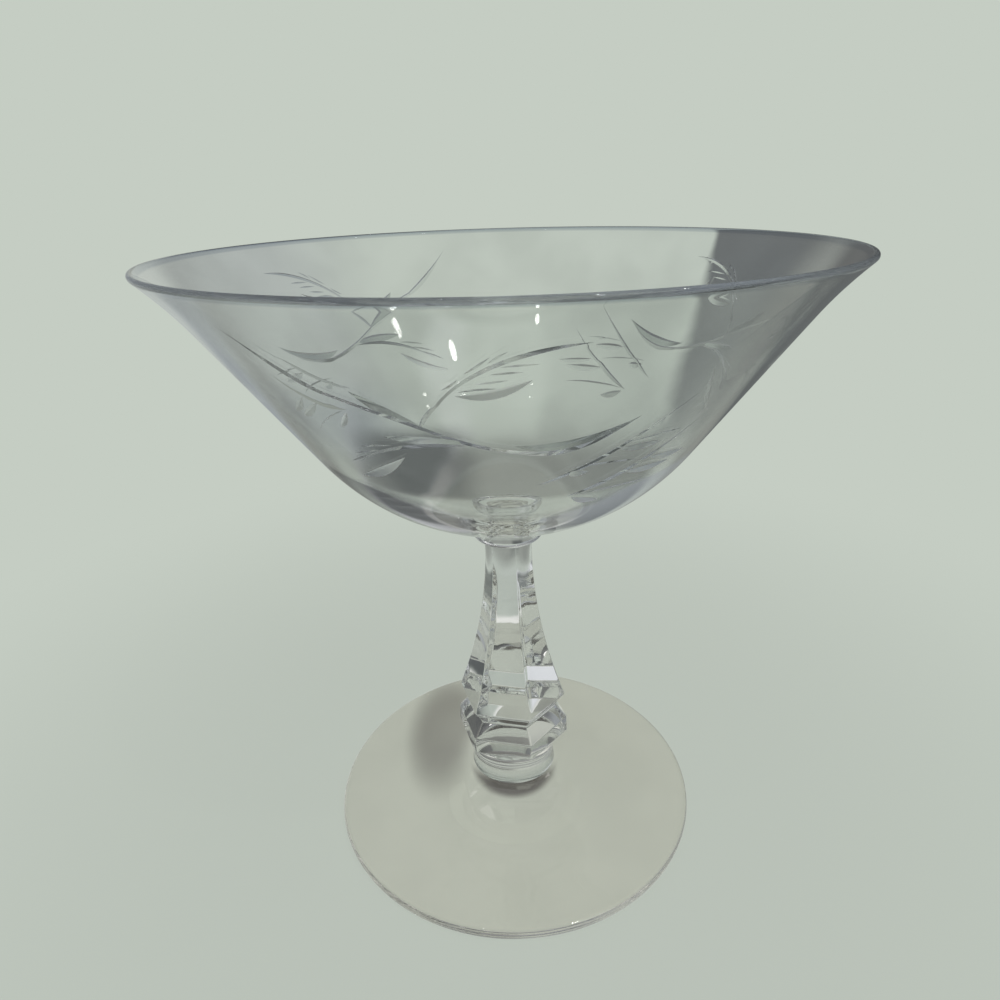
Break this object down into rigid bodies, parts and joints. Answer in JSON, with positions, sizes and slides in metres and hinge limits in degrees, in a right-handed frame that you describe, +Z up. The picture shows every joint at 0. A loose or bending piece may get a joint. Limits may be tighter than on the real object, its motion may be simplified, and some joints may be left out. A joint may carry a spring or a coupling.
{
  "type": "coupe glass",
  "caption": "Clear coupe glass with a wide flared bowl cut with leaf sprays, on a faceted stem with a ridged knop and a spread round foot; holds a drink or a dessert.",
  "frame": {"origin": "middle of the ring on the foot's underside that the glass stands on", "axes": "+Z up along the glass's axis to the rim; -Y is the side that faces the viewer, with the leaf sprays repeating round the axis"},
  "size_m": [0.1166, 0.1166, 0.12],
  "materials": {
    "blown_glass": "fire-polished clear glass, with wheel-cut leaves",
    "pressed_glass": "fire-polished clear pressed glass",
    "foot_glass": "fire-polished clear glass"
  },
  "bodies": {
    "root": {"bowl": "blown_glass", "merese": "pressed_glass", "stem": "pressed_glass", "foot_post": "pressed_glass", "foot": "foot_glass"}
  },
  "joints": []
}
